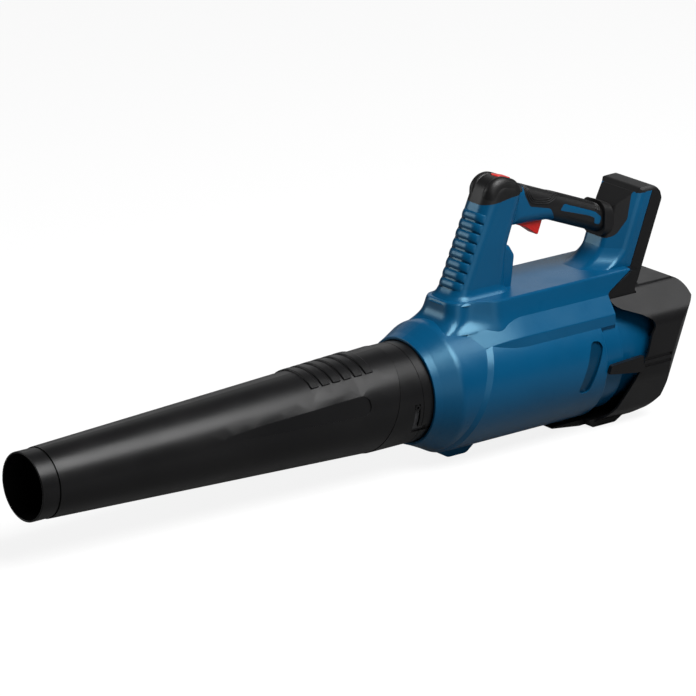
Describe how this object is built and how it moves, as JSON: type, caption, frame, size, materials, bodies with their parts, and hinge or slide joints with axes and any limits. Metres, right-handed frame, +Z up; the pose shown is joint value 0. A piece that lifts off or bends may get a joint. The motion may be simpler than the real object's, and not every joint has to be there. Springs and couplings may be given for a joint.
{
  "type": "cordless leaf blower",
  "caption": "Cordless leaf blower: axial fan in a two-part shell with loop handle, twist-on tapered air tube, finger trigger, thumb button, rear intake cover and battery rails.",
  "frame": {"origin": "on the floor below the middle of the tool's length and width", "axes": "+X towards the air outlet, +Y to the tool's left, +Z up"},
  "size_m": [0.921, 0.17, 0.3259],
  "materials": {
    "blue_plastic": "satin moulded",
    "black_plastic": "satin moulded",
    "soft_black": "soft touch",
    "red_plastic": "satin moulded",
    "grey_plastic": "moulded",
    "rubber_black": "matt",
    "steel": "bright",
    "lamination_steel": "stamped stack",
    "magnet": "plated",
    "cast_alloy": "die cast",
    "copper": "enamelled",
    "circuit_board": "lacquered",
    "lead_insulation": "sleeved"
  },
  "bodies": {
    "root": {"left_housing": "blue_plastic", "right_housing": "blue_plastic", "intake_cover": "black_plastic", "battery_mount": "black_plastic", "bayonet_studs": "black_plastic", "intake_grille": "black_plastic", "front_grip_cap": "soft_black", "grip_sleeve": "soft_black", "rear_hood": "soft_black", "fan_housing": "grey_plastic", "outlet_duct": "grey_plastic", "tail_cone": "grey_plastic", "terminal_block": "grey_plastic", "board_tray": "grey_plastic", "switch_module": "grey_plastic", "button_switch": "grey_plastic", "collar_seal": "rubber_black", "damper_rings": "rubber_black", "front_bearing": "steel", "rear_bearing": "steel", "trigger_pin": "steel", "trigger_spring": "steel", "button_spring": "steel", "housing_screws": "steel", "cover_screws": "steel", "stator_core": "lamination_steel", "front_end_bell": "cast_alloy", "rear_end_bell": "cast_alloy", "stator_windings": "copper", "terminal_blades": "copper", "control_board": "circuit_board", "phase_leads": "lead_insulation", "battery_leads": "lead_insulation", "switch_leads": "lead_insulation"},
    "rotor": {"fan_impeller": "grey_plastic", "fan_nut": "steel", "motor_shaft": "steel", "rotor_core": "lamination_steel", "rotor_magnets": "magnet"},
    "nozzle": {"nozzle_tube": "black_plastic", "nozzle_collar": "black_plastic"},
    "trigger": {"trigger": "red_plastic"},
    "button": {"boost_button": "red_plastic"}
  },
  "joints": [
    {"name": "fan_spin", "type": "hinge", "parent": "root", "child": "rotor", "pos_m": [-0.2675, 0, 0.089], "axis": [1, 0, 0], "continuous": true},
    {"name": "nozzle_twist", "type": "hinge", "parent": "root", "child": "nozzle", "pos_m": [-0.0488, 0, 0.089], "axis": [1, 0, 0], "range_deg": [0, 28.5]},
    {"name": "trigger_pull", "type": "hinge", "parent": "root", "child": "trigger", "pos_m": [-0.2365, 0, 0.273], "axis": [0, 1, 0], "range_deg": [0, 12], "stiffness_Nm_per_rad": 0.6, "springref_deg": -8.59, "deforming": ["trigger_spring"]},
    {"name": "boost_press", "type": "slide", "parent": "root", "child": "button", "axis": [0, 0, -1], "range_m": [0, 0.002], "stiffness_N_per_m": 1500, "springref_m": -0.001, "deforming": ["button_spring"]}
  ]
}
